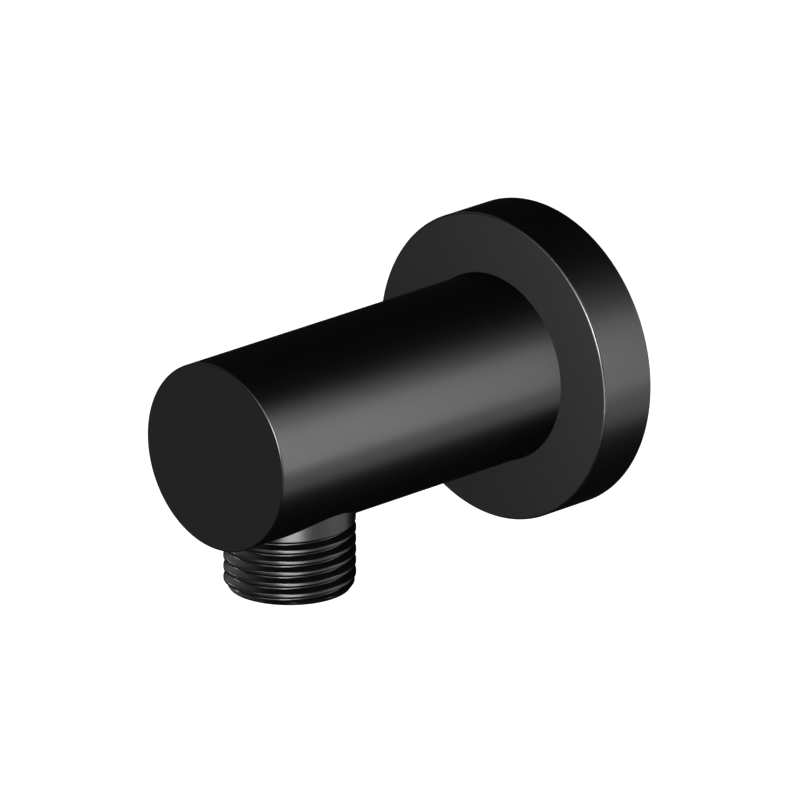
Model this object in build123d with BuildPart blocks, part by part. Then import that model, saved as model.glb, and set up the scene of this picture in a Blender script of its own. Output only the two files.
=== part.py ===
from build123d import *
import os

# Wall outlet elbow for a shower hose, in millimetres.
# The finished wall is the plane y = 0, the body stands out of it along -Y,
# and the threaded outlet points down, along -Z. The origin is where the body's axis meets the wall.

# Outside of the fitting
body_diameter = 30.2
projection = 71.3            # from the wall to the body's front face
edge_break = 0.25            # the hairline rounding of every visible edge
flange_diameter = 50.0
flange_thickness = 10.4
outlet_distance = 55.1       # from the wall to the outlet's axis
outlet_drop = 25.0           # from the body's axis down to the outlet's end face

# G 1/2 pipe thread, cut on the outlet and on the wall connector
thread_diameter = 20.8
thread_pitch = 25.4 / 14
thread_depth = 0.64 * thread_pitch
thread_lead_in = 1.5
outlet_thread_length = 9.8
outlet_runout_width = 1.1     # groove that the outlet's thread runs out into, below the neck
wall_thread_length = 12.5

# Clearances
spigot_clearance = 0.05      # between the connector's spigot and the body's socket, on the radius
slide_clearance = 0.06       # between the body and the flange that slides on it, on the radius
screw_clearance = 0.03       # between two threads that are screwed together, on the radius
seal_clearance = 0.02        # between a squeezed seal and the faces that squeeze it
seal_side_room = 0.15        # free room beside a seal in its groove
valve_clearance = 0.08       # between the check valve and its pocket, on the radius
press_clearance = 0.04       # between the cage and the check valve's housing, on the radius
guide_clearance = 0.07       # between the plug's stem and its guide, on the radius
seat_clearance = 0.08        # between the closed lip seal and its seat
end_play = 0.1               # between the check valve and the floor of its pocket

# Wall connector
collar_diameter = 25.0
collar_start = 1.0           # from the wall to the collar's back
collar_thickness = 2.0
relief_diameter = 18.2       # groove between the thread and the collar
spigot_diameter = 18.0
spigot_length = 26.2
spigot_lead_in = 0.8
connector_bore = 10.0
connector_key_size = 10.0    # across the flats of the hexagon socket
connector_key_depth = 10.0
spigot_seal_section = 1.78
spigot_groove_width = 2.4
spigot_groove_depth = 1.35
front_groove_setback = 3.0   # from the spigot's end to the middle of the first groove
groove_spacing = 4.2
locking_groove_depth = 1.0   # V groove that the grub screw's point enters
locking_distance = 17.0      # from the wall to the grub screw's axis

# Body's back end and hollows
body_back_chamfer = 0.4
socket_lead_in = 0.9
socket_end_room = 0.8
channel_diameter = 14.0
drill_point = 3.0
port_top = 2.0               # from the body's axis down to the top of the outlet's screw hole
port_seat = 10.2             # from the body's axis down to the shoulder that the outlet seats on
neck_seat_clearance = 0.03

# Grub screw, M5
grub_diameter = 5.0
grub_sunk = 0.9
grub_point_room = 0.15
grub_key_size = 2.5
grub_key_depth = 2.4

# Flange
flange_plate = 6.0           # thickness of the front plate that the body passes through
flange_rim = 4.5             # width of the rim that meets the wall
grip_groove_width = 2.6
grip_groove_depth = 1.5
gasket_inset = 1.2           # from the flange's outside to the gasket's groove
gasket_width = 2.0
gasket_thickness = 1.2

# Outlet nipple
neck_step = 0.05             # the neck is this much smaller than the thread, on the radius
shank_diameter = 16.0
shank_top = 3.0              # from the body's axis down to the shank's end
shank_relief = 0.4
outlet_key_size = 11.0
outlet_seal_height = 1.6
outlet_seal_chamber = 19.2
pocket_diameter = 14.1
pocket_depth = 12.7
pocket_chamfer = 0.5

# Check valve in the outlet
valve_length = 12.0
valve_inlet = 8.4
valve_chamber = 12.2
valve_inlet_length = 2.8
valve_groove_setback = 0.7
valve_groove_width = 1.9
valve_groove_root = 11.5
plug_stroke = 2.0
plug_nose_diameter = 4.0
plug_neck_diameter = 6.0
plug_neck_height = 0.95
plug_disc_diameter = 9.4
plug_disc_thickness = 0.8
plug_nose_height = 1.3
plug_seal_drop = 0.75        # from the seat's start down to the top of the lip seal
plug_boss_diameter = 4.6
plug_boss_height = 0.5
stem_diameter = 2.4
stem_engagement = 1.6
lip_diameter = 10.6
cage_ring_width = 0.8
cage_ring_height = 2.4
cage_rib_width = 1.0
cage_rib_count = 4
cage_rib_top = 2.8           # from the valve's lower end up to the ribs' tops
cage_rib_bottom = 0.5
cage_hub_diameter = 4.8
cage_boss_height = 0.6
spring_wire = 0.4
spring_turns = 3.5
spring_diameter = 5.8        # at the middle of the wire
spring_end_gap = 0.03

# Places worked out from the sizes above
body_radius = body_diameter / 2
flange_radius = flange_diameter / 2
thread_radius = thread_diameter / 2
thread_root_radius = thread_radius - thread_depth
spigot_radius = spigot_diameter / 2
socket_radius = spigot_radius + spigot_clearance
body_back = collar_start + collar_thickness
spigot_end = body_back + spigot_length
socket_end = spigot_end + socket_end_room
channel_radius = channel_diameter / 2
channel_end = outlet_distance + channel_radius
front_groove = spigot_end - front_groove_setback
rear_groove = front_groove - groove_spacing
groove_root_radius = spigot_radius - spigot_groove_depth
neck_radius = thread_radius - neck_step
shank_radius = shank_diameter / 2
port_radius = shank_radius + screw_clearance
seal_chamber_radius = outlet_seal_chamber / 2
pocket_radius = pocket_diameter / 2
pocket_floor = -outlet_drop + pocket_depth
valve_top = pocket_floor - end_play
valve_bottom = valve_top - valve_length
housing_radius = pocket_radius - valve_clearance
chamber_radius = valve_chamber / 2
inlet_radius = valve_inlet / 2
seat_start = valve_top - valve_inlet_length
seat_end = seat_start - (chamber_radius - inlet_radius)
valve_groove_top = valve_top - valve_groove_setback
rib_top = valve_bottom + cage_rib_top

outlet_plane = Plane.XZ.offset(outlet_distance)
outlet_axis = Axis((0, -outlet_distance, 0), (0, 0, 1))
locking_plane = Plane.XZ.offset(locking_distance)
locking_axis = Axis((0, -locking_distance, 0), (0, 0, 1))

os.makedirs("parts", exist_ok=True)


def keep(piece, label):
    """Name a finished piece and write it to its own file."""
    piece.part.label = label
    export_step(piece.part, f"parts/{label}.step")


def squeezed_ring(plane, axis, inner_radius, outer_radius, low, high):
    """A rubber ring squeezed in its groove: a round section flattened where it bears."""
    width = outer_radius - inner_radius
    height = high - low
    with BuildPart() as ring:
        with BuildSketch(plane):
            with Locations(((inner_radius + outer_radius) / 2, (low + high) / 2)):
                RectangleRounded(width, height, 0.4 * min(width, height))
        revolve(axis=axis)
    return ring


# Wall connector: turned brass, G 1/2 thread for the wall, collar, and a spigot for the body
with BuildPart() as wall_connector:
    with BuildSketch(Plane.XY):
        with BuildLine():
            Polyline(
                (connector_bore / 2, wall_thread_length),
                (thread_root_radius, wall_thread_length),
                (thread_radius, wall_thread_length - thread_lead_in),
                (thread_radius, 0),
                (relief_diameter / 2, 0),
                (relief_diameter / 2, -collar_start),
                (collar_diameter / 2, -collar_start),
                (collar_diameter / 2, -body_back),
                (spigot_radius, -body_back),
                (spigot_radius, -spigot_end + spigot_lead_in),
                (spigot_radius - spigot_lead_in / 2, -spigot_end),
                (connector_bore / 2, -spigot_end),
                close=True,
            )
        make_face()
    revolve(axis=Axis.Y)
    with BuildSketch(Plane.XY):
        for groove in (front_groove, rear_groove):
            with Locations((spigot_radius, -groove)):
                Rectangle(2 * spigot_groove_depth, spigot_groove_width)
        with BuildLine():
            Polyline(
                (spigot_radius, -locking_distance - locking_groove_depth),
                (spigot_radius - locking_groove_depth, -locking_distance),
                (spigot_radius, -locking_distance + locking_groove_depth),
                close=True,
            )
        make_face()
    revolve(axis=Axis.Y, mode=Mode.SUBTRACT)
    with BuildSketch(Plane.XZ.offset(spigot_end)):
        RegularPolygon(connector_key_size / 2, 6, major_radius=False)
    extrude(amount=-connector_key_depth, mode=Mode.SUBTRACT)
keep(wall_connector, "wall_connector")

# The spigot's two sealing rings
for label, groove in (("spigot_seal_front", front_groove), ("spigot_seal_rear", rear_groove)):
    half_width = spigot_groove_width / 2 - seal_side_room
    keep(
        squeezed_ring(
            Plane.XY,
            Axis.Y,
            groove_root_radius + seal_clearance,
            socket_radius - seal_clearance,
            -groove - half_width,
            -groove + half_width,
        ),
        label,
    )

# Body: turned brass bar, closed at the front, bored from the back for the spigot and the water
with BuildPart() as elbow_body:
    with BuildSketch(Plane.XY):
        with BuildLine():
            Polyline(
                (0, -projection),
                (body_radius, -projection),
                (body_radius, -body_back - body_back_chamfer),
                (body_radius - body_back_chamfer, -body_back),
                (socket_radius + socket_lead_in, -body_back),
                (socket_radius, -body_back - 2 * socket_lead_in),
                (socket_radius, -socket_end),
                (channel_radius, -socket_end),
                (channel_radius, -channel_end),
                (0, -channel_end - drill_point),
                close=True,
            )
        make_face()
    revolve(axis=Axis.Y)
    rims = elbow_body.edges().filter_by(GeomType.CIRCLE)
    fillet(rims.group_by(Axis.Y)[0], edge_break)
    with BuildSketch(outlet_plane):
        with BuildLine():
            Polyline(
                (0, -port_top),
                (port_radius, -port_top),
                (port_radius, -port_seat + outlet_seal_height),
                (seal_chamber_radius, -port_seat + outlet_seal_height),
                (seal_chamber_radius, -port_seat),
                (neck_radius + neck_seat_clearance, -port_seat),
                (neck_radius + neck_seat_clearance, -body_radius - 1),
                (0, -body_radius - 1),
                close=True,
            )
        make_face()
    revolve(axis=outlet_axis, mode=Mode.SUBTRACT)
    with BuildSketch(Plane.XY.offset(-body_radius)):
        with Locations((0, -locking_distance)):
            Circle(grub_diameter / 2 + screw_clearance)
    extrude(amount=body_radius, mode=Mode.SUBTRACT)
keep(elbow_body, "elbow_body")

# Grub screw: M5 with a hexagon socket, its point in the spigot's V groove
grub_point = -spigot_radius + locking_groove_depth - grub_point_room
grub_head = -body_radius + grub_sunk
with BuildPart() as grub_screw:
    with BuildSketch(locking_plane):
        with BuildLine():
            Polyline(
                (0, grub_point),
                (grub_diameter / 2, grub_point - grub_diameter / 2),
                (grub_diameter / 2, grub_head),
                (0, grub_head),
                close=True,
            )
        make_face()
    revolve(axis=locking_axis)
    with BuildSketch(Plane.XY.offset(grub_head)):
        with Locations((0, -locking_distance)):
            RegularPolygon(grub_key_size / 2, 6, major_radius=False)
    extrude(amount=grub_key_depth, mode=Mode.SUBTRACT)
keep(grub_screw, "grub_screw")

# Flange: turned disc that slides on the body, relieved behind to clear the fitting in the wall
flange_bore_radius = body_radius + slide_clearance
recess_radius = flange_radius - flange_rim
recess_depth = flange_thickness - flange_plate
grip_middle = recess_depth + flange_plate / 2
gasket_outer = flange_radius - gasket_inset
gasket_inner = gasket_outer - gasket_width
with BuildPart() as wall_flange:
    with BuildSketch(Plane.XY):
        with BuildLine():
            Polyline(
                (recess_radius, 0),
                (flange_radius, 0),
                (flange_radius, -flange_thickness),
                (flange_bore_radius, -flange_thickness),
                (flange_bore_radius, -recess_depth),
                (recess_radius, -recess_depth),
                close=True,
            )
        make_face()
        with Locations(((gasket_inner + gasket_outer) / 2, -gasket_thickness / 2)):
            Rectangle(gasket_width, gasket_thickness, mode=Mode.SUBTRACT)
        with Locations((flange_bore_radius, -grip_middle)):
            Rectangle(2 * grip_groove_depth, grip_groove_width, mode=Mode.SUBTRACT)
    revolve(axis=Axis.Y)
    front_rims = wall_flange.edges().filter_by(GeomType.CIRCLE).group_by(Axis.Y)[0]
    fillet(front_rims.sort_by(SortBy.RADIUS)[-1], edge_break)
keep(wall_flange, "wall_flange")

# Rubber ring in the flange's bore, which grips the body and holds the flange against the wall
grip_half_width = grip_groove_width / 2 - seal_side_room
keep(
    squeezed_ring(
        Plane.XY,
        Axis.Y,
        body_radius + seal_clearance,
        flange_bore_radius + grip_groove_depth - seal_clearance,
        -grip_middle - grip_half_width,
        -grip_middle + grip_half_width,
    ),
    "flange_grip_ring",
)

# Foam ring in the flange's back, level with the rim once it is pressed against the wall
with BuildPart() as wall_gasket:
    with BuildSketch(Plane.XZ):
        Circle(gasket_outer - seal_clearance)
        Circle(gasket_inner + seal_clearance, mode=Mode.SUBTRACT)
    extrude(amount=gasket_thickness - seal_clearance)
keep(wall_gasket, "wall_gasket")

# Outlet nipple: screwed up into the body to its shoulder, bored from below for the check valve
thread_start = -outlet_drop + outlet_thread_length
with BuildPart() as outlet_nipple:
    with BuildSketch(outlet_plane):
        with BuildLine():
            Polyline(
                (0, -shank_top),
                (shank_radius - shank_relief, -shank_top),
                (shank_radius, -shank_top - shank_relief),
                (shank_radius, -port_seat + outlet_seal_height),
                (shank_radius - shank_relief, -port_seat + outlet_seal_height - shank_relief),
                (shank_radius - shank_relief, -port_seat),
                (neck_radius, -port_seat),
                (neck_radius, thread_start + outlet_runout_width),
                (thread_root_radius, thread_start + outlet_runout_width),
                (thread_root_radius, thread_start),
                (thread_radius, thread_start),
                (thread_radius, -outlet_drop + thread_lead_in),
                (thread_root_radius, -outlet_drop),
                (pocket_radius + pocket_chamfer, -outlet_drop),
                (pocket_radius, -outlet_drop + pocket_chamfer),
                (pocket_radius, pocket_floor),
                (0, pocket_floor),
                close=True,
            )
        make_face()
    revolve(axis=outlet_axis)
    with BuildSketch(Plane.XY.offset(pocket_floor)):
        with Locations((0, -outlet_distance)):
            RegularPolygon(outlet_key_size / 2, 6, major_radius=False)
    extrude(until=Until.LAST, mode=Mode.SUBTRACT)
keep(outlet_nipple, "outlet_nipple")

# Sealing ring between the nipple's shoulder and the body
seal_half_width = (outlet_seal_height - 2 * seal_clearance) / 2
seal_middle = (shank_radius - shank_relief + seal_chamber_radius) / 2
keep(
    squeezed_ring(
        outlet_plane,
        outlet_axis,
        seal_middle - seal_half_width,
        seal_middle + seal_half_width,
        -port_seat + seal_clearance,
        -port_seat + outlet_seal_height - seal_clearance,
    ),
    "outlet_seal",
)

# Check valve housing: moulded sleeve with a ring groove outside and a conical seat inside
with BuildPart() as check_valve_housing:
    with BuildSketch(outlet_plane):
        with BuildLine():
            Polyline(
                (inlet_radius, valve_top),
                (housing_radius, valve_top),
                (housing_radius, valve_groove_top),
                (valve_groove_root / 2, valve_groove_top),
                (valve_groove_root / 2, valve_groove_top - valve_groove_width),
                (housing_radius, valve_groove_top - valve_groove_width),
                (housing_radius, valve_bottom),
                (chamber_radius, valve_bottom),
                (chamber_radius, seat_end),
                (inlet_radius, seat_start),
                close=True,
            )
        make_face()
    revolve(axis=outlet_axis)
keep(check_valve_housing, "check_valve_housing")

# Rubber ring that seals the housing in the nipple's pocket
keep(
    squeezed_ring(
        outlet_plane,
        outlet_axis,
        valve_groove_root / 2 + seal_clearance,
        pocket_radius - seal_clearance,
        valve_groove_top - valve_groove_width + seal_side_room,
        valve_groove_top - seal_side_room,
    ),
    "check_valve_outer_seal",
)

# Cage: ring with ribs and a hub, pressed into the housing from below, guides the plug's stem
cage_outer = chamber_radius - press_clearance
cage_inner = cage_outer - cage_ring_width
guide_radius = stem_diameter / 2 + guide_clearance
with BuildPart() as check_valve_cage:
    with BuildSketch(Plane.XY.offset(valve_bottom)):
        with Locations((0, -outlet_distance)):
            Circle(cage_outer)
            Circle(cage_inner, mode=Mode.SUBTRACT)
    extrude(amount=cage_ring_height)
    with BuildSketch(Plane.XY.offset(valve_bottom + cage_rib_bottom)):
        with Locations((0, -outlet_distance)):
            with PolarLocations((cage_inner + cage_ring_width / 2) / 2, cage_rib_count):
                Rectangle(cage_inner + cage_ring_width / 2, cage_rib_width)
    extrude(amount=cage_rib_top - cage_rib_bottom)
    with BuildSketch(Plane.XY.offset(valve_bottom + cage_rib_bottom)):
        with Locations((0, -outlet_distance)):
            Circle(cage_hub_diameter / 2)
    extrude(amount=cage_rib_top - cage_rib_bottom + cage_boss_height)
    with BuildSketch(Plane.XY.offset(valve_bottom)):
        with Locations((0, -outlet_distance)):
            Circle(guide_radius)
    extrude(amount=valve_length / 2, mode=Mode.SUBTRACT)
keep(check_valve_cage, "check_valve_cage")

# Plug: nose in the inlet, neck for the lip seal, disc, and a stem that runs in the cage
seal_top = seat_start - plug_seal_drop
disc_top = seal_top - plug_neck_height
disc_bottom = disc_top - plug_disc_thickness
stem_end = rib_top + cage_boss_height - stem_engagement
with BuildPart() as check_valve_plug:
    with BuildSketch(outlet_plane):
        with BuildLine():
            Polyline(
                (0, seal_top + plug_nose_height),
                (plug_nose_diameter / 2, seal_top + plug_nose_height),
                (plug_neck_diameter / 2 + seal_clearance, seal_top),
                (plug_neck_diameter / 2, seal_top),
                (plug_neck_diameter / 2, disc_top),
                (plug_disc_diameter / 2, disc_top),
                (plug_disc_diameter / 2, disc_bottom),
                (plug_boss_diameter / 2, disc_bottom),
                (plug_boss_diameter / 2, disc_bottom - plug_boss_height),
                (stem_diameter / 2, disc_bottom - plug_boss_height),
                (stem_diameter / 2, stem_end),
                (0, stem_end),
                close=True,
            )
        make_face()
    revolve(axis=outlet_axis)
keep(check_valve_plug, "check_valve_plug")

# Lip seal: rubber ring on the plug's neck, its edge shaped to the conical seat
lip_gap = seat_clearance * 2**0.5
lip_radius = lip_diameter / 2
lip_top_radius = inlet_radius + plug_seal_drop - lip_gap
lip_edge = seal_top - (lip_radius - lip_top_radius)
seal_bottom = disc_top + seal_clearance
with BuildPart() as check_valve_lip_seal:
    with BuildSketch(outlet_plane):
        with BuildLine():
            Polyline(
                (plug_neck_diameter / 2 + seal_clearance, seal_top),
                (lip_top_radius, seal_top),
                (lip_radius, lip_edge),
                (lip_radius, (lip_edge + seal_bottom) / 2),
                (plug_disc_diameter / 2, seal_bottom),
                (plug_neck_diameter / 2 + seal_clearance, seal_bottom),
                close=True,
            )
        make_face()
    revolve(axis=outlet_axis)
keep(check_valve_lip_seal, "check_valve_lip_seal")

# Spring: stainless wire between the cage's ribs and the plug's disc
spring_low = rib_top + spring_wire / 2 + spring_end_gap
spring_high = disc_bottom - spring_wire / 2 - spring_end_gap
spring_pitch = (spring_high - spring_low) / spring_turns
with BuildPart() as check_valve_spring:
    with BuildLine():
        coil = Helix(
            pitch=spring_pitch,
            height=spring_high - spring_low,
            radius=spring_diameter / 2,
            center=(0, -outlet_distance, spring_low),
        )
    with BuildSketch(Plane(origin=coil @ 0, z_dir=coil % 0)):
        Circle(spring_wire / 2)
    sweep()
keep(check_valve_spring, "check_valve_spring")
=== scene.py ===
import math

import bmesh
import bpy
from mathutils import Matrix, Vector


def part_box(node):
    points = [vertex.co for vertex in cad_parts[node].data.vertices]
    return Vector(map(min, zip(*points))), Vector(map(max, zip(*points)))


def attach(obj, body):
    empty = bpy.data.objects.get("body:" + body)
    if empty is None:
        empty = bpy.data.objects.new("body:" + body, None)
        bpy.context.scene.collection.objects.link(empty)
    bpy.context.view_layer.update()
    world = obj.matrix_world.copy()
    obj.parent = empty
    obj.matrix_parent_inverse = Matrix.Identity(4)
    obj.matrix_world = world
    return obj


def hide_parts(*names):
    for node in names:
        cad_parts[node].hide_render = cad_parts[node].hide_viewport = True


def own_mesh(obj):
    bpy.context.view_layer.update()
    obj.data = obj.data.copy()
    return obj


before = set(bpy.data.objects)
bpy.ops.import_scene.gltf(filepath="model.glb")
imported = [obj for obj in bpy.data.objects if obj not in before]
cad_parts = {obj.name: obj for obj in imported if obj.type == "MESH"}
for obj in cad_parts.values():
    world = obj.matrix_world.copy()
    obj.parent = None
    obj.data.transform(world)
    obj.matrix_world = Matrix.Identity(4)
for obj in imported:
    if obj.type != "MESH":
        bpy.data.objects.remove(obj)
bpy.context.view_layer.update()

# Wall connector: one turned brass piece, screwed into the pipe fitting in the wall with a hexagon
# key. It has a G 1/2 pipe thread at the wall end, a collar, and a grooved spigot for the body.
# The lathe leaves fine rings on it, and the brass is a little stained.

scene = bpy.context.scene
mm = 0.001
round_steps = 192                   # points round a turned piece
weld = 0.002 * mm                   # points closer than this are one
on_round = 0.01 * mm                # points closer than this to a cylinder are on it

pipe_pitch = 25.4 / 14 * mm
pipe_crest = 10.4 * mm              # radius over the crests
pipe_depth = 1.05 * mm
pipe_root_flat = 0.18 * mm
pipe_corner = 0.06 * mm             # how far each edge of a flank is rounded
flank_slope = math.tan(math.radians(29.3))
pitch_rows = 40                     # rows of points in one pitch of a thread
thread_crease = math.radians(42)


def groove_depth(distance):
    """Depth of the pipe thread's groove at a distance from its middle, its edges rounded."""
    depth = pipe_depth - (distance - pipe_root_flat / 2) / flank_slope
    at_root = max(0.0, 1 - abs(pipe_depth - depth) / pipe_corner)
    at_crest = max(0.0, 1 - abs(depth) / pipe_corner)
    depth = min(pipe_depth, max(0.0, depth))
    return depth + pipe_corner / 4 * (at_crest ** 2 - at_root ** 2)


def eased(share):
    """A smooth rise from 0 to 1."""
    share = min(1.0, max(0.0, share))
    return share * share * (3 - 2 * share)


def pipe_thread(high, low, groove_start, start_angle, way, run_in, plain, end_radius, lead_in):
    """Rows of a right-hand thread between two heights, as (radius, height), both functions of the
    angle. The rows run along the groove, which starts at groove_start and start_angle, and winds
    up the axis or, with way -1, down it. It is at its full depth after run_in turns. Before it
    the surface has the plain radius, and a cone to end_radius makes the thread's lead-in."""
    thin_end = high if way > 0 else low

    def reach(angle, height):
        share = (start_angle - angle) / math.tau % 1
        along = way * (height - groove_start) / pipe_pitch - share
        turns = max(0, round(along))
        depth = groove_depth(abs(along - turns) * pipe_pitch) * eased((turns + share) / run_in)
        ridge = plain
        if along > 0:
            ridge += (pipe_crest - plain) * eased((math.floor(along) + share) / run_in)
        cone = end_radius + abs(height - thin_end) / lead_in * (pipe_crest - end_radius)
        return min(ridge, cone, pipe_crest - depth)

    def row(index):
        def height(angle):
            slant = angle / math.tau if way < 0 else 1 - angle / math.tau
            return min(high, max(low, high + pipe_pitch * (slant - index / pitch_rows)))

        return lambda angle: reach(angle, height(angle)), height

    rows = math.ceil((high - low) / pipe_pitch * pitch_rows) + pitch_rows + 1
    return [row(index) for index in range(rows)]


def hexagon(across_flats):
    """Radius of a hexagonal socket, as a function of the angle, with a corner at angle 0."""
    sixth = math.tau / 6
    return lambda angle: across_flats / 2 / math.cos(angle % sixth - sixth / 2)


def turned(work, radius, height, along, centre, steps):
    """The points that one point of an outline makes when it is turned about its axis."""
    ring = []
    for step in range(1 if radius == 0 else steps):
        angle = math.tau * step / steps
        reach = radius(angle) if callable(radius) else radius
        rise = height(angle) if callable(height) else height
        u, v = reach * math.cos(angle), reach * math.sin(angle)
        spot = (u, rise, v) if along == "Y" else (u, v, rise)
        ring.append(work.verts.new(Vector(spot) + Vector(centre)))
    return ring


def new_piece(name, work):
    """A new piece from a mesh in the making, its faces turned outward."""
    bmesh.ops.recalc_face_normals(work, faces=work.faces)
    mesh = bpy.data.meshes.new(name)
    work.to_mesh(mesh)
    work.free()
    piece = bpy.data.objects.new(name, mesh)
    scene.collection.objects.link(piece)
    return piece


def lathe(name, outline, along, centre=(0, 0, 0), steps=round_steps, twist=0):
    """A piece turned from a closed outline of (radius, height) points about an axis through
    centre, "Y" for the wall or "Z" for the outlet. A radius may be a function of the angle, and
    in a thread's rows the height too: gone round, such a row joins the one twist places on."""
    work = bmesh.new()
    on_thread = work.faces.layers.int.new("on_thread")
    rings = [turned(work, radius, height, along, centre, steps) for radius, height in outline]
    wound = [index for index, (radius, height) in enumerate(outline) if callable(height)]
    for index, ring in enumerate(rings):
        follows = (index + 1) % len(rings)
        next_ring = rings[follows]
        if len(ring) == 1 and len(next_ring) == 1:
            continue
        radius, next_radius = outline[index][0], outline[follows][0]
        threaded = callable(radius) and callable(next_radius) and radius is not next_radius
        for step in range(steps):
            follow = (step + 1) % steps
            if len(ring) == 1:
                corners = (ring[0], next_ring[follow], next_ring[step])
            elif len(next_ring) == 1:
                corners = (ring[step], ring[follow], next_ring[0])
            elif wound and follow == 0 and wound[0] <= index < wound[-1]:
                here, there = (rings[min(wound[-1], max(wound[0], place + twist))][0]
                               for place in (index, follows))
                corners = tuple(dict.fromkeys((ring[step], here, there, next_ring[step])))
            else:
                corners = (ring[step], ring[follow], next_ring[follow], next_ring[step])
            work.faces.new(corners)[on_thread] = threaded
    bmesh.ops.remove_doubles(work, verts=work.verts, dist=weld)
    return new_piece(name, work)


def carry_out(piece):
    """Makes what a piece's modifiers do part of its mesh."""
    bpy.context.view_layer.update()
    evaluated = piece.evaluated_get(bpy.context.evaluated_depsgraph_get())
    piece.data = bpy.data.meshes.new_from_object(evaluated)
    piece.modifiers.clear()


def smooth(piece, crease=28, rounds=()):
    """Shades a piece smooth but for its creases, given in degrees, with its flat faces kept flat.
    rounds lists the cylinders, as (axis, centre, radius), whose shading is set true so that a cut
    in them can't dent it."""
    mesh = piece.data
    for face in mesh.polygons:
        face.use_smooth = True
    mesh.set_sharp_from_angle(angle=math.radians(crease))
    work = bmesh.new()
    work.from_mesh(mesh)
    on_thread = work.faces.layers.int.get("on_thread")
    for edge in work.edges:
        if on_thread and all(face[on_thread] for face in edge.link_faces):
            edge.smooth = edge.calc_face_angle(0) < thread_crease
    work.to_mesh(mesh)
    work.free()
    evened = piece.modifiers.new("evened", "WEIGHTED_NORMAL")
    evened.keep_sharp = True
    evened.weight = 80
    carry_out(piece)
    mesh = piece.data
    normals = [corner.vector.copy() for corner in mesh.corner_normals]
    for axis, centre, radius in rounds:
        for face in mesh.polygons:
            spokes = []
            for index in face.vertices:
                spoke = mesh.vertices[index].co - Vector(centre)
                spoke["XYZ".index(axis)] = 0
                spokes.append(spoke)
            if all(abs(spoke.length - radius) < on_round for spoke in spokes):
                outward = 1 if face.normal.dot(sum(spokes, Vector())) > 0 else -1
                for corner, spoke in zip(face.loop_indices, spokes):
                    normals[corner] = spoke.normalized() * outward
    mesh.normals_split_custom_set(normals)


def clad(piece, material):
    """Gives a piece its material."""
    piece.data.materials.clear()
    piece.data.materials.append(material)


def dress(piece, body, material, node):
    """Gives a piece its body and its material, and hides the CAD node that it stands for."""
    clad(piece, material)
    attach(piece, body)
    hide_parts(node)


def put(tree, kind, inputs=(), **settings):
    """A new node in a tree. inputs gives its sockets by name or number, each a value or another
    node's output."""
    node = tree.nodes.new(kind)
    for name, value in settings.items():
        setattr(node, name, value)
    for socket, value in dict(inputs).items():
        if isinstance(value, bpy.types.NodeSocket):
            tree.links.new(value, node.inputs[socket])
        else:
            node.inputs[socket].default_value = value
    return node


def sum_of(tree, operation, first, second):
    """What an operation makes of two values, each a number or a node's output."""
    return put(tree, "ShaderNodeMath", {0: first, 1: second}, operation=operation).outputs[0]


def clouds(tree, scale, detail):
    """Noise through a piece, with scale lumps in a metre."""
    place = put(tree, "ShaderNodeTexCoord").outputs["Object"]
    return put(tree, "ShaderNodeTexNoise",
               {"Vector": place, "Scale": scale, "Detail": detail}).outputs[0]


def relief(tree, strength, distance, height):
    """The normal of a surface that is raised by a height that varies over it."""
    return put(tree, "ShaderNodeBump",
               {"Strength": strength, "Distance": distance, "Height": height}).outputs[0]


def blended(tree, mask, low, high):
    """The colour between low and high that a mask picks."""
    ramp = put(tree, "ShaderNodeValToRGB", {"Fac": mask})
    ramp.color_ramp.elements[0].color = (*low, 1)
    ramp.color_ramp.elements[1].color = (*high, 1)
    return ramp.outputs[0]


def effect(name, inputs, outputs):
    """A shader node group with float inputs (name: default) and outputs (name: kind), and what
    its inputs give."""
    group = bpy.data.node_groups.new(name, "ShaderNodeTree")
    for label, default in inputs.items():
        socket = group.interface.new_socket(name=label, in_out="INPUT",
                                            socket_type="NodeSocketFloat")
        socket.default_value = default
    for label, kind in outputs.items():
        group.interface.new_socket(name=label, in_out="OUTPUT", socket_type="NodeSocket" + kind)
    return group, put(group, "NodeGroupInput").outputs


def surface(name, colour, roughness, metallic=0.0):
    """A new material, its tree and its shader's sockets, with the values that are the same all
    over."""
    material = bpy.data.materials.new(name)
    material.use_nodes = True
    shader = material.node_tree.nodes["Principled BSDF"].inputs
    shader["Base Color"].default_value = (*colour, 1)
    shader["Roughness"].default_value = roughness
    shader["Metallic"].default_value = metallic
    return material, material.node_tree, shader


def worked(tree, shader, group, inputs=()):
    """Places an effect in a material, and feeds its roughness and normal into the shader."""
    placed = put(tree, "ShaderNodeGroup", inputs, node_tree=group)
    for look in ("Roughness", "Normal"):
        tree.links.new(placed.outputs[look], shader[look])
    return placed.outputs


# Tool marks: the rings that a cutting tool leaves round a turned piece, and a cloudy stain.
tool_marks, given = effect(
    "tool_marks",
    {"Along": 0.0, "Rings per metre": 9000.0, "Depth": 0.15, "Polish": 0.26, "Stain spread": 0.08},
    {"Roughness": "Float", "Stain": "Float", "Normal": "Vector"},
)
feed = sum_of(tool_marks, "MULTIPLY", given["Along"], given["Rings per metre"])
rings = put(tool_marks, "ShaderNodeTexNoise", {"W": feed, "Scale": 1.0, "Detail": 2.0},
            noise_dimensions="1D")
stain = clouds(tool_marks, scale=240.0, detail=4.0)
spread = sum_of(tool_marks, "MULTIPLY", stain, given["Stain spread"])
put(tool_marks, "NodeGroupOutput", {
    "Roughness": sum_of(tool_marks, "ADD", spread, given["Polish"]),
    "Stain": stain,
    "Normal": relief(tool_marks, given["Depth"], distance=0.01 * mm, height=rings.outputs[0]),
})


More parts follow.
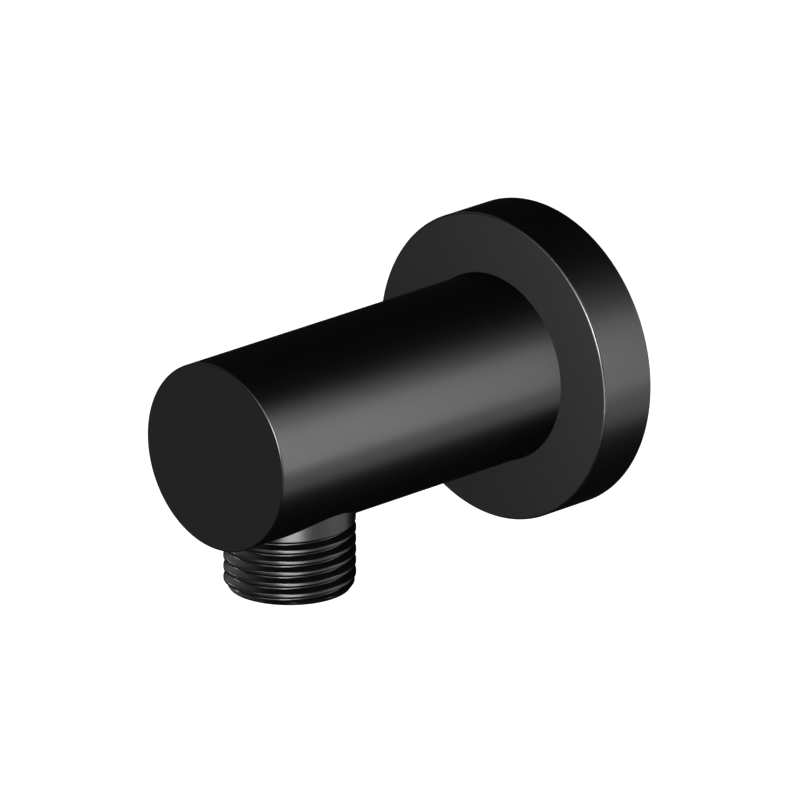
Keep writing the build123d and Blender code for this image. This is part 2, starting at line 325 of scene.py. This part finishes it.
def turned_metal(name, bright, stained, axis, polish):
    """Bare metal turned about an axis of the object, "X", "Y" or "Z"."""
    material, tree, shader = surface(name, bright, polish, 1.0)
    place = put(tree, "ShaderNodeTexCoord").outputs["Object"]
    axes = put(tree, "ShaderNodeSeparateXYZ", {"Vector": place}).outputs
    marks = worked(tree, shader, tool_marks, {"Along": axes[axis], "Polish": polish})
    tree.links.new(blended(tree, marks["Stain"], stained, bright), shader["Base Color"])
    return material


brass = turned_metal("turned_brass", (0.83, 0.60, 0.27), (0.62, 0.40, 0.15), "Y", polish=0.24)

connector_bore = 5.0 * mm
connector_thread_end = 12.5 * mm
connector_groove_start = -0.4 * mm
connector_run_in = 0.05             # turns
connector_end_radius, connector_lead_in = 9.3 * mm, 1.5 * mm
connector_relief = 9.1 * mm
collar_radius = 12.5 * mm
collar_back, collar_front = -1.0 * mm, -3.0 * mm
collar_chamfer = 0.3 * mm
spigot_radius = 9.0 * mm
spigot_end = -29.2 * mm
spigot_lead_in = 0.8 * mm
seal_grooves = (-22.0 * mm, -26.2 * mm)
seal_groove_half_width, seal_groove_root = 1.2 * mm, 7.65 * mm
locking_groove = -17.0 * mm
locking_depth = 1.0 * mm
connector_key = hexagon(10.0 * mm)
connector_key_depth = 10.0 * mm

outline = [(connector_bore, connector_thread_end)]
outline += pipe_thread(high=connector_thread_end, low=0, groove_start=connector_groove_start,
                       start_angle=0.0, way=1, run_in=connector_run_in, plain=pipe_crest,
                       end_radius=connector_end_radius, lead_in=connector_lead_in)
outline += [
    (connector_relief, 0),
    (connector_relief, collar_back),
    (collar_radius - collar_chamfer, collar_back),
    (collar_radius, collar_back - collar_chamfer),
    (collar_radius, collar_front + collar_chamfer),
    (collar_radius - collar_chamfer, collar_front),
    (spigot_radius, collar_front),
    (spigot_radius, locking_groove + locking_depth),
    (spigot_radius - locking_depth, locking_groove),
    (spigot_radius, locking_groove - locking_depth),
]
for middle in seal_grooves:
    outline += [
        (spigot_radius, middle + seal_groove_half_width),
        (seal_groove_root, middle + seal_groove_half_width),
        (seal_groove_root, middle - seal_groove_half_width),
        (spigot_radius, middle - seal_groove_half_width),
    ]
outline += [
    (spigot_radius, spigot_end + spigot_lead_in),
    (spigot_radius - spigot_lead_in / 2, spigot_end),
    (connector_key, spigot_end),
    (connector_key, spigot_end + connector_key_depth),
    (connector_bore, spigot_end + connector_key_depth),
]
connector = lathe("connector", outline, "Y", twist=pitch_rows)
smooth(connector)
dress(connector, "fitting", brass, "wall_connector")

# Spigot seals: two rings moulded in black rubber, lightly greased, in the spigot's grooves. The
# body's socket squeezes them, and hides them once the body is on.

rubber_grain, given = effect(
    "rubber_grain",
    {"Grain per metre": 6000.0, "Dullness": 0.45, "Depth": 0.25},
    {"Roughness": "Float", "Normal": "Vector"},
)
grain = clouds(rubber_grain, given["Grain per metre"], detail=2.0)
uneven = put(rubber_grain, "ShaderNodeMapRange", {"Value": grain, "To Min": -0.08, "To Max": 0.08})
put(rubber_grain, "NodeGroupOutput", {
    "Roughness": sum_of(rubber_grain, "ADD", uneven.outputs[0], given["Dullness"]),
    "Normal": relief(rubber_grain, given["Depth"], distance=0.02 * mm, height=grain),
})

seal_rubber, tree, shader = surface("seal_rubber", (0.012, 0.012, 0.013), roughness=0.45)
worked(tree, shader, rubber_grain)
for name in ("spigot_seal_front", "spigot_seal_rear"):
    clad(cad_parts[name], seal_rubber)

# Body: turned from brass bar, its front closed, bored from the back for the spigot and the water.
# A threaded hole below takes the outlet, and a small one behind it the grub screw. It is coated
# satin black like every outside piece, and its visible edges are only just broken.

coat_grain, given = effect(
    "coat_grain",
    {"Satin": 0.29, "Spread": 0.03, "Depth": 0.05},
    {"Roughness": "Float", "Normal": "Vector"},
)
flow = clouds(coat_grain, scale=90.0, detail=2.0)
speck = clouds(coat_grain, scale=9000.0, detail=2.0)
patchy = sum_of(coat_grain, "MULTIPLY", flow, given["Spread"])
put(coat_grain, "NodeGroupOutput", {
    "Roughness": sum_of(coat_grain, "ADD", patchy, given["Satin"]),
    "Normal": relief(coat_grain, given["Depth"], distance=0.004 * mm, height=speck),
})

black_coat, tree, shader = surface("satin_black_coat", (0.001, 0.001, 0.001), roughness=0.30)
shader["IOR"].default_value = 2.2
worked(tree, shader, coat_grain)


def arc(radius, height, size, start, end, steps=5):
    """Points of a rounded edge, as (radius, height), between two angles in degrees."""
    points = []
    for step in range(steps + 1):
        angle = math.radians(start + (end - start) * step / steps)
        points.append((radius + size * math.cos(angle), height + size * math.sin(angle)))
    return points


def cut(piece, *tools):
    """Cuts the tools' shapes out of a piece, and removes the tools."""
    for tool in tools:
        step = piece.modifiers.new("cut", "BOOLEAN")
        step.operation = "DIFFERENCE"
        step.solver = "EXACT"
        step.object = tool
    carry_out(piece)
    for tool in tools:
        bpy.data.objects.remove(tool)
    work = bmesh.new()
    work.from_mesh(piece.data)
    bmesh.ops.remove_doubles(work, verts=work.verts, dist=weld)
    bmesh.ops.dissolve_degenerate(work, edges=work.edges, dist=weld)
    work.to_mesh(piece.data)
    work.free()


body_radius = 15.1 * mm
body_front, body_back = -71.3 * mm, -3.0 * mm
edge_break = 0.24 * mm
back_chamfer = 0.4 * mm
socket_radius, socket_end = 9.05 * mm, -30.0 * mm
socket_chamfer = 0.9 * mm
channel_radius, channel_end = 7.0 * mm, -62.1 * mm
drill_point = 3.0 * mm
outlet_axis = (0, -55.1 * mm, 0)
locking_axis = (0, locking_groove, 0)
port_radius, port_top = 8.03 * mm, -2.0 * mm
seat_height, seal_height = -10.2 * mm, 1.6 * mm
seal_chamber = 9.6 * mm
counterbore_radius = 10.38 * mm
grub_hole_radius = 2.53 * mm
clear_below = -body_radius - mm     # where the shapes that cut it from below end
row_gap = 1.2 * mm                  # between the rows of points along the body

outline = [(0, body_front)]
outline += arc(body_radius - edge_break, body_front + edge_break, edge_break, -90, 0)
length = body_back - back_chamfer - body_front - edge_break
rows = round(length / row_gap)
outline += [(body_radius, body_front + edge_break + length * row / rows)
            for row in range(1, rows + 1)]
outline += [
    (body_radius - back_chamfer, body_back),
    (socket_radius + socket_chamfer, body_back),
    (socket_radius, body_back - 2 * socket_chamfer),
    (socket_radius, socket_end),
    (channel_radius, socket_end),
    (channel_radius, channel_end),
    (0, channel_end - drill_point),
]
body = lathe("body", outline, "Y")
port_outline = [
    (0, port_top),
    (port_radius, port_top),
    (port_radius, seat_height + seal_height),
    (seal_chamber, seat_height + seal_height),
    (seal_chamber, seat_height),
    (counterbore_radius, seat_height),
    (counterbore_radius, clear_below),
    (0, clear_below),
]
port = lathe("port", port_outline, "Z", outlet_axis)
hole_outline = [(0, 0), (grub_hole_radius, 0), (grub_hole_radius, clear_below), (0, clear_below)]
grub_hole = lathe("grub_hole", hole_outline, "Z", locking_axis, steps=64)
cut(body, port, grub_hole)
smooth(body, rounds=[("Y", (0, 0, 0), body_radius), ("Z", outlet_axis, counterbore_radius)])
dress(body, "fitting", black_coat, "elbow_body")

# Grub screw: an M5 stainless screw with a hexagon socket, turned in from below. Its point sits in
# the spigot's V groove and draws the body back against the collar.

screw_steel = turned_metal("screw_steel", (0.56, 0.55, 0.53), (0.40, 0.39, 0.37), "Z",
                           polish=0.30)

screw_radius = 2.5 * mm
screw_point, screw_head = -8.15 * mm, -14.2 * mm
screw_chamfer = 0.4 * mm
screw_pitch, screw_depth = 0.8 * mm, 0.45 * mm
groove_halves = 2.3                 # half widths of the groove in a pitch
screw_key, screw_key_depth = hexagon(2.5 * mm), 2.4 * mm
screw_rows = 60


def screw_thread(height):
    """Radius of the grub screw's thread at a height, as a function of the angle round it."""
    def radius(angle):
        turn = (height / screw_pitch - angle / math.tau) % 1
        return screw_radius - screw_depth * max(0.0, 1 - abs(turn - 0.5) * groove_halves)

    return radius


core_radius = screw_radius - screw_depth
outline = [(0, screw_point), (core_radius, screw_point - screw_radius + screw_depth)]
thread_top, thread_bottom = screw_point - screw_radius, screw_head + screw_chamfer
for row in range(screw_rows + 1):
    height = thread_top + (thread_bottom - thread_top) * row / screw_rows
    outline.append((screw_thread(height), height))
outline += [
    (screw_radius - screw_chamfer, screw_head),
    (screw_key, screw_head),
    (screw_key, screw_head + screw_key_depth),
    (0, screw_head + screw_key_depth),
]
grub_screw = lathe("locking_screw", outline, "Z", locking_axis, steps=96)
smooth(grub_screw)
dress(grub_screw, "fitting", screw_steel, "grub_screw")

# Wall flange: a turned disc, coated like the body, which slides along it and covers the hole in
# the wall. Its back is relieved to clear the pipe fitting, and a groove at its rim holds the foam
# ring.

flange_radius, flange_front = 25.0 * mm, -10.4 * mm
flange_bore = 15.16 * mm
recess_radius, recess_floor = 20.5 * mm, -4.4 * mm
grip_middle, grip_half_width, grip_depth = -7.4 * mm, 1.3 * mm, 1.5 * mm
gasket_outer, gasket_inner, gasket_thickness = 23.8 * mm, 21.8 * mm, 1.2 * mm
rim_break, back_edge_break, bore_break = 0.35 * mm, 0.15 * mm, 0.15 * mm

outline = arc(flange_radius - back_edge_break, -back_edge_break, back_edge_break, 90, 0)
outline += arc(flange_radius - rim_break, flange_front + rim_break, rim_break, 0, -90)
outline += [
    (flange_bore + bore_break, flange_front),
    (flange_bore, flange_front + bore_break),
    (flange_bore, grip_middle - grip_half_width),
    (flange_bore + grip_depth, grip_middle - grip_half_width),
    (flange_bore + grip_depth, grip_middle + grip_half_width),
    (flange_bore, grip_middle + grip_half_width),
    (flange_bore, recess_floor),
    (recess_radius, recess_floor),
    (recess_radius, 0),
    (gasket_inner, 0),
    (gasket_inner, -gasket_thickness),
    (gasket_outer, -gasket_thickness),
    (gasket_outer, 0),
]
flange = lathe("flange_disc", outline, "Y")
smooth(flange)
dress(flange, "flange", black_coat, "wall_flange")

# Grip ring: a ring moulded in black rubber, in the flange's bore. The body squeezes it, so that
# the flange stays where it is pushed.

clad(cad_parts["flange_grip_ring"], seal_rubber)

# Gasket: a ring cut from black closed-cell foam and glued in the flange's back. The wall presses
# it flat.

cell_size = 0.28 * mm
foam_rubber, tree, shader = surface("foam_rubber", (0.02, 0.02, 0.021), roughness=0.85)
place = put(tree, "ShaderNodeTexCoord").outputs["Object"]
cells = put(tree, "ShaderNodeTexVoronoi", {"Vector": place, "Scale": 1 / cell_size}).outputs[0]
skin = blended(tree, cells, (0.008, 0.008, 0.009), (0.035, 0.035, 0.036))
tree.links.new(skin, shader["Base Color"])
pores = relief(tree, strength=0.6, distance=0.05 * mm, height=cells)
tree.links.new(pores, shader["Normal"])

gasket_gap = 0.02 * mm
gasket_edge = 0.2 * mm
gasket_steps = 3                    # in each rounded edge
outline = [(gasket_outer - gasket_gap, gasket_gap - gasket_thickness)]
outline += arc(gasket_outer - gasket_gap - gasket_edge, -gasket_edge, gasket_edge, 0, 90,
               gasket_steps)
outline += arc(gasket_inner + gasket_gap + gasket_edge, -gasket_edge, gasket_edge, 90, 180,
               gasket_steps)
outline += [(gasket_inner + gasket_gap, gasket_gap - gasket_thickness)]
gasket = lathe("foam_gasket", outline, "Y")
smooth(gasket)
dress(gasket, "flange", foam_rubber, "wall_gasket")

# Outlet: a turned brass nipple, coated like the body and screwed up into it with a hexagon key.
# It has a plain neck and a G 1/2 thread for the hose, whose groove runs out into the neck.

shank_radius, shank_top = 8.0 * mm, -3.0 * mm
shank_chamfer = 0.4 * mm
neck_radius = 10.35 * mm
outlet_end = -25.0 * mm
outlet_thread_top = -13.3 * mm      # above the groove's start, so that its rows can slant
outlet_groove_start, outlet_groove_angle = -14.09 * mm, math.radians(140)
outlet_run_in = 0.2                 # turns
outlet_end_radius, outlet_lead_in = 9.6 * mm, 1.15 * mm
outlet_key = hexagon(11.0 * mm)
pocket_radius, pocket_floor = 7.05 * mm, -12.3 * mm
pocket_chamfer = 0.5 * mm

outline = [
    (outlet_key, shank_top),
    (shank_radius - shank_chamfer, shank_top),
    (shank_radius, shank_top - shank_chamfer),
    (shank_radius, seat_height + seal_height),
    (shank_radius - shank_chamfer, seat_height + seal_height - shank_chamfer),
    (shank_radius - shank_chamfer, seat_height),
    (neck_radius, seat_height),
]
outline += pipe_thread(high=outlet_thread_top, low=outlet_end, groove_start=outlet_groove_start,
                       start_angle=outlet_groove_angle, way=-1, run_in=outlet_run_in,
                       plain=neck_radius, end_radius=outlet_end_radius, lead_in=outlet_lead_in)
outline += [
    (pocket_radius + pocket_chamfer, outlet_end),
    (pocket_radius, outlet_end + pocket_chamfer),
    (pocket_radius, pocket_floor),
    (outlet_key, pocket_floor),
]
outlet = lathe("outlet", outline, "Z", outlet_axis, twist=-pitch_rows)
smooth(outlet)
dress(outlet, "fitting", black_coat, "outlet_nipple")

# Outlet seal: a ring moulded in black rubber, between the outlet's shoulder and the body. It is
# hidden once the outlet is screwed home.

clad(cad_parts["outlet_seal"], seal_rubber)

# Check valve: a bought cartridge pushed up into the outlet. Its housing is moulded in natural
# white plastic, with a rubber ring round it, and its cage in blue. The plug and its lip seal
# hang in it on a spring of stainless wire.

plastic_dullness = 0.34
mould_flow, given = effect(
    "mould_flow",
    {"Dullness": plastic_dullness, "Spread": 0.08, "Depth": 0.15},
    {"Cloud": "Float", "Roughness": "Float", "Normal": "Vector"},
)
cloud = clouds(mould_flow, scale=300.0, detail=3.0)
matt = clouds(mould_flow, scale=5000.0, detail=2.0)
patchy = sum_of(mould_flow, "MULTIPLY", cloud, given["Spread"])
put(mould_flow, "NodeGroupOutput", {
    "Cloud": cloud,
    "Roughness": sum_of(mould_flow, "ADD", patchy, given["Dullness"]),
    "Normal": relief(mould_flow, given["Depth"], distance=0.01 * mm, height=matt),
})


def moulded_plastic(name, light, shade):
    """Plastic as it comes from its mould, faintly cloudy."""
    material, tree, shader = surface(name, light, plastic_dullness)
    flow = worked(tree, shader, mould_flow)
    tree.links.new(blended(tree, flow["Cloud"], shade, light), shader["Base Color"])
    return material


natural_plastic = moulded_plastic("natural_plastic", (0.80, 0.79, 0.74), (0.72, 0.71, 0.66))
blue_plastic = moulded_plastic("blue_plastic", (0.03, 0.16, 0.52), (0.02, 0.12, 0.42))
spring_wire = turned_metal("spring_wire", (0.60, 0.59, 0.57), (0.48, 0.47, 0.45), "Z",
                           polish=0.24)

for name, material in (
    ("check_valve_housing", natural_plastic),
    ("check_valve_plug", natural_plastic),
    ("check_valve_cage", blue_plastic),
    ("check_valve_outer_seal", seal_rubber),
    ("check_valve_lip_seal", seal_rubber),
):
    clad(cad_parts[name], material)

wire_radius = 0.2 * mm
coil_radius = 2.9 * mm
coil_turns = 3.5
coil_steps, wire_sides = 168, 12

spring_low, spring_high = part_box("check_valve_spring")
low, high = spring_low[2] + wire_radius, spring_high[2] - wire_radius
rise = (high - low) / (math.tau * coil_turns)
work = bmesh.new()
loops = []
for step in range(coil_steps + 1):
    angle = math.tau * coil_turns * step / coil_steps
    outward = Vector((math.cos(angle), math.sin(angle), 0))
    forward = Vector((-math.sin(angle) * coil_radius, math.cos(angle) * coil_radius, rise))
    across = outward.cross(forward.normalized())
    middle = Vector(outlet_axis) + outward * coil_radius + Vector((0, 0, low + rise * angle))
    loops.append([
        work.verts.new(middle + (outward * math.cos(math.tau * side / wire_sides)
                                 + across * math.sin(math.tau * side / wire_sides)) * wire_radius)
        for side in range(wire_sides)
    ])
for loop, next_loop in zip(loops, loops[1:]):
    for side in range(wire_sides):
        follow = (side + 1) % wire_sides
        work.faces.new((loop[side], loop[follow], next_loop[follow], next_loop[side]))
work.faces.new(loops[0])
work.faces.new(loops[-1])
spring = new_piece("coil_spring", work)
smooth(spring, crease=60)
dress(spring, "fitting", spring_wire, "check_valve_spring")
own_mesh(spring)

# Studio: a pale floor well below the fitting, soft boxes in a dark room, and a long lens. The
# camera sees white all round, and the black coat mirrors only the boxes and the dark room. Some
# boxes light or are shaded by certain pieces alone, which gives the coat the photo's bands.

floor_height = -0.45
floor_size = 6.0
floor_glow = 0.9                    # of white, for the camera alone
bpy.ops.mesh.primitive_plane_add(size=floor_size, location=(0, 0, floor_height))
floor = bpy.context.object
floor.name = "studio_floor"
pale, tree, shader = surface("pale_floor", (0.8, 0.8, 0.8), roughness=0.9)
rays = put(tree, "ShaderNodeLightPath").outputs
white = sum_of(tree, "MULTIPLY", rays["Is Camera Ray"], floor_glow)
shader["Emission Color"].default_value = (1, 1, 1, 1)
tree.links.new(white, shader["Emission Strength"])
sides = put(tree, "ShaderNodeNewGeometry").outputs
above = sum_of(tree, "SUBTRACT", 1.0, sides["Backfacing"])
tree.links.new(above, shader["Alpha"])
floor.data.materials.append(pale)
floor.visible_shadow = False        # a low soft box shines through it

room_light = 0.3                    # on dull surfaces, from all round
backdrop = bpy.data.worlds.new("white_backdrop")
scene.world = backdrop
backdrop.use_nodes = True
tree = backdrop.node_tree
rays = put(tree, "ShaderNodeLightPath").outputs
seen = sum_of(tree, "MAXIMUM", rays["Is Camera Ray"], rays["Is Transmission Ray"])
lit = sum_of(tree, "MULTIPLY", rays["Is Diffuse Ray"], room_light)
glow = tree.nodes["Background"].inputs
glow["Color"].default_value = (1, 1, 1, 1)
tree.links.new(sum_of(tree, "MAXIMUM", seen, lit), glow["Strength"])

pieces = [piece for piece in scene.objects if piece.type == "MESH"]
for piece in pieces:
    piece.visible_glossy = False    # the coat in the photo mirrors neither a piece nor the floor


def gathered(name, chosen):
    """A collection of pieces, for a soft box to light or to be shaded by."""
    group = bpy.data.collections.new(name)
    for piece in chosen:
        group.objects.link(piece)
    return group


all_but_flange = gathered("all_but_the_flange", [piece for piece in pieces if piece is not flange])
all_but_body = gathered("all_but_the_body", [piece for piece in pieces if piece is not body])
flange_alone = gathered("the_flange_alone", [flange])
uncoated = gathered("uncoated", [piece for piece in pieces if piece not in (body, outlet, flange)])
outlet_alone = gathered("the_outlet_alone", [outlet])

fitting_middle = (0, -35 * mm, 0)
flange_middle = (10 * mm, flange_front, 0)
far, near, beside = 1.2, 0.4, 0.17  # how far a soft box stands from what it faces
white_watts = 4                     # for each square metre of a soft box as bright as white


def soft_box(name, azimuth, elevation, width, height, brightness, distance=far,
             middle=fitting_middle, lights=None, shades=None):
    """A soft box that faces a middle from an azimuth and elevation in degrees. The azimuth is
    measured from +X, against the clock. Brightness 1 is white. lights holds the only pieces that
    it lights, and shades the only ones that shade it."""
    lamp = bpy.data.lights.new(name, "AREA")
    lamp.shape = "RECTANGLE"
    lamp.size, lamp.size_y = width, height
    lamp.energy = white_watts * brightness * width * height
    box = bpy.data.objects.new(name, lamp)
    scene.collection.objects.link(box)
    a, e = math.radians(azimuth), math.radians(elevation)
    towards = Vector((math.cos(a) * math.cos(e), math.sin(a) * math.cos(e), math.sin(e)))
    box.location = Vector(middle) + towards * distance
    box.rotation_euler = towards.to_track_quat("Z", "Y").to_euler()
    box.visible_camera = False
    if lights:
        box.light_linking.receiver_collection = lights
    if shades:
        box.light_linking.blocker_collection = shades


# Each box: its name, azimuth, elevation, width, height and brightness.
soft_box("camera_soft_box", -57, 16, 0.35, 0.5, 20.0)
soft_box("left_soft_box", -90, 8, 0.35, 0.6, 3.0)
soft_box("side_soft_box", -166, 8, 0.3, 0.3, 9.0, lights=outlet_alone)
soft_box("left_back_soft_box", 164, 34, 0.4, 0.9, 0.32)
soft_box("front_soft_box", -135, -19, 0.7, 0.7, 0.07)
soft_box("low_right_soft_box", 32, -22, 2.0, 0.5, 0.32)
soft_box("low_soft_box", -42, -18, 0.64, 0.25, 4.6, lights=all_but_body)
soft_box("beside_low_soft_box", -20, -18, 0.3, 0.25, 1.0, lights=all_but_body)
soft_box("back_soft_box", 95, 10, 0.8, 0.8, 1.2, lights=uncoated)
soft_box("under_soft_box", -90, -72, 0.9, 0.7, 1.2, lights=uncoated)
soft_box("near_right_soft_box", 33, 18, 0.14, 0.5, 1.12, near, shades=all_but_flange)
soft_box("far_right_soft_box", 48, 5, 0.5, 0.8, 0.25, shades=all_but_flange)
soft_box("flange_soft_box", -72, 8, 0.2, 0.2, 0.66, beside, flange_middle,
         lights=flange_alone, shades=flange_alone)
soft_box("flange_left_soft_box", -110, 8, 0.14, 0.2, 0.2, beside, flange_middle,
         lights=flange_alone, shades=flange_alone)

# The camera, where the photo was taken from. Its azimuth is measured from -Y towards +X.
view_azimuth, view_elevation = math.radians(45.05), math.radians(19.39)
target = Vector((-1.423, -29.362, -1.272)) * mm
camera_distance = 2.041
back = Vector((math.sin(view_azimuth) * math.cos(view_elevation),
               -math.cos(view_azimuth) * math.cos(view_elevation),
               math.sin(view_elevation)))
camera = bpy.data.objects.new("camera", bpy.data.cameras.new("camera"))
scene.collection.objects.link(camera)
camera.data.sensor_width = 36
camera.data.lens = 585
camera.data.clip_end = 20
camera.location = target + back * camera_distance
camera.rotation_euler = back.to_track_quat("Z", "Y").to_euler()
scene.camera = camera

scene.view_settings.view_transform = "Standard"

bpy.context.view_layer.update()
